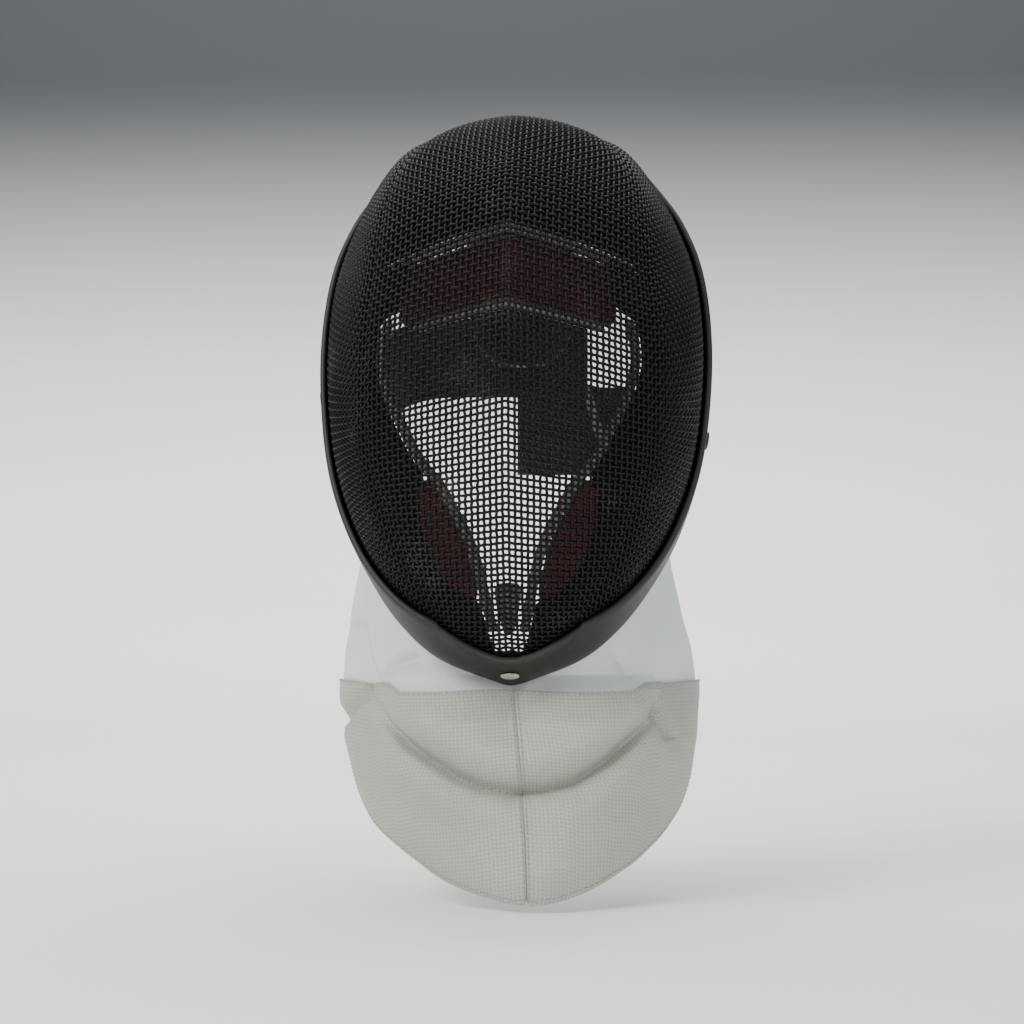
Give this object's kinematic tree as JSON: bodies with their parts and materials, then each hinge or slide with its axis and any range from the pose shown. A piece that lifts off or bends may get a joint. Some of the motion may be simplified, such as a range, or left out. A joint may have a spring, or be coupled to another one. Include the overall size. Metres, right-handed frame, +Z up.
{
  "type": "fencing mask",
  "caption": "Bent wire mesh face guard with rubber edging, inside padding, elastic back strap and a cloth bib over the throat.",
  "frame": {"origin": "where the crown of the wearer's head rests, under the top of the mesh", "axes": "-Y out of the face, +Z up, +X to the right of a viewer who looks at the face"},
  "size_m": [0.2078, 0.2185, 0.4038],
  "materials": {
    "black_wire": "black coated woven steel wire",
    "black_rubber": "satin black moulded edging",
    "pale_rivet": "pale grey-yellow button",
    "white_cloth": "white layered cloth",
    "conductive_cloth": "grey conductive woven cloth",
    "red_cloth": "dark red padded cloth",
    "edging_cloth": "light grey bound edge",
    "chin_cloth": "light grey padded cloth",
    "spring_steel": "bare spring steel strip",
    "black_cloth": "black cloth, plain in the lining and padded on the tongue",
    "black_elastic": "black ribbed elastic",
    "black_button": "black button"
  },
  "bodies": {
    "root": {"wire_mesh": "black_wire", "edge_trim": "black_rubber", "chin_rivet": "pale_rivet", "bib": "white_cloth", "bib_cover": "conductive_cloth", "cheek_pad_left": "red_cloth", "cheek_pad_right": "red_cloth", "forehead_pad": "red_cloth", "cheek_edging_left": "edging_cloth", "cheek_edging_right": "edging_cloth", "forehead_edging_lower": "edging_cloth", "forehead_edging_upper": "edging_cloth", "chin_pad": "chin_cloth", "crown_lining": "black_cloth", "side_lining_left": "black_cloth", "side_lining_right": "black_cloth", "tongue_spring": "spring_steel", "back_tongue": "black_cloth", "strap_left": "black_elastic", "strap_right": "black_elastic", "strap_anchor_left": "black_button", "strap_anchor_right": "black_button"}
  },
  "joints": []
}
